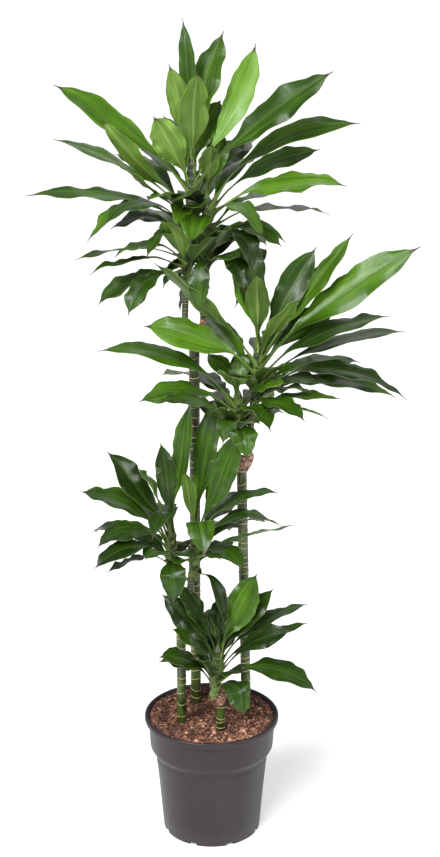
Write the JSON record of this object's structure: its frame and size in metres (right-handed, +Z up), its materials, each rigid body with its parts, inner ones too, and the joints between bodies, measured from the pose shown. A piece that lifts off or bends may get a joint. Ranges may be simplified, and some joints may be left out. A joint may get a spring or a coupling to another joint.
{
  "type": "potted corn plant",
  "caption": "Corn plant of several canes with crowns of long arching leaves, standing in a round grower's pot.",
  "frame": {"origin": "middle of the pot's underside", "axes": "+Z up along the pot's axis, +X to the viewer's right, -Y to the front"},
  "size_m": [0.7374, 0.47, 1.604],
  "materials": {
    "pot": "satin dark grey, slightly warm",
    "bark": "reddish-brown bark and coir crumbs, matte",
    "cane": "dark green bark with thin tan ring scars",
    "shoot": "young green stem and leaves, satin",
    "leaf": "glossy green with lengthwise ribs"
  },
  "bodies": {
    "root": {"cane_left": "cane", "cane_right": "cane", "cane_short": "cane", "cane_tall": "cane", "leaf_left_left_01": "leaf", "leaf_left_left_02": "leaf", "leaf_left_left_03": "leaf", "leaf_left_left_04": "leaf", "leaf_left_left_05": "leaf", "leaf_left_right_01": "leaf", "leaf_left_right_02": "leaf", "leaf_left_right_03": "leaf", "leaf_left_right_04": "leaf", "leaf_left_right_05": "leaf", "leaf_right_left_01": "leaf", "leaf_right_left_02": "leaf", "leaf_right_left_03": "leaf", "leaf_right_left_04": "leaf", "leaf_right_left_05": "leaf", "leaf_right_left_06": "leaf", "leaf_right_right_01": "leaf", "leaf_right_right_02": "leaf", "leaf_right_right_03": "leaf", "leaf_right_right_04": "leaf", "leaf_right_right_05": "leaf", "leaf_right_right_06": "leaf", "leaf_right_right_07": "leaf", "leaf_short_01": "leaf", "leaf_short_02": "leaf", "leaf_short_03": "leaf", "leaf_short_04": "leaf", "leaf_short_05": "leaf", "leaf_tall_left_01": "leaf", "leaf_tall_left_02": "leaf", "leaf_tall_left_03": "leaf", "leaf_tall_left_04": "leaf", "leaf_tall_left_05": "leaf", "leaf_tall_left_06": "leaf", "leaf_tall_left_07": "leaf", "leaf_tall_left_08": "leaf", "leaf_tall_left_09": "leaf", "leaf_tall_left_10": "leaf", "leaf_tall_left_11": "leaf", "leaf_tall_right_01": "leaf", "leaf_tall_right_02": "leaf", "leaf_tall_right_03": "leaf", "leaf_tall_right_04": "leaf", "leaf_tall_right_05": "leaf", "leaf_tall_right_06": "leaf", "leaf_tall_right_07": "leaf", "leaf_tall_right_08": "leaf", "pot": "pot", "potting_bark": "bark", "shoot_left_left": "shoot", "shoot_left_right": "shoot", "shoot_right_left": "shoot", "shoot_right_right": "shoot", "shoot_short": "shoot", "shoot_tall_left": "shoot", "shoot_tall_right": "shoot"}
  },
  "joints": []
}
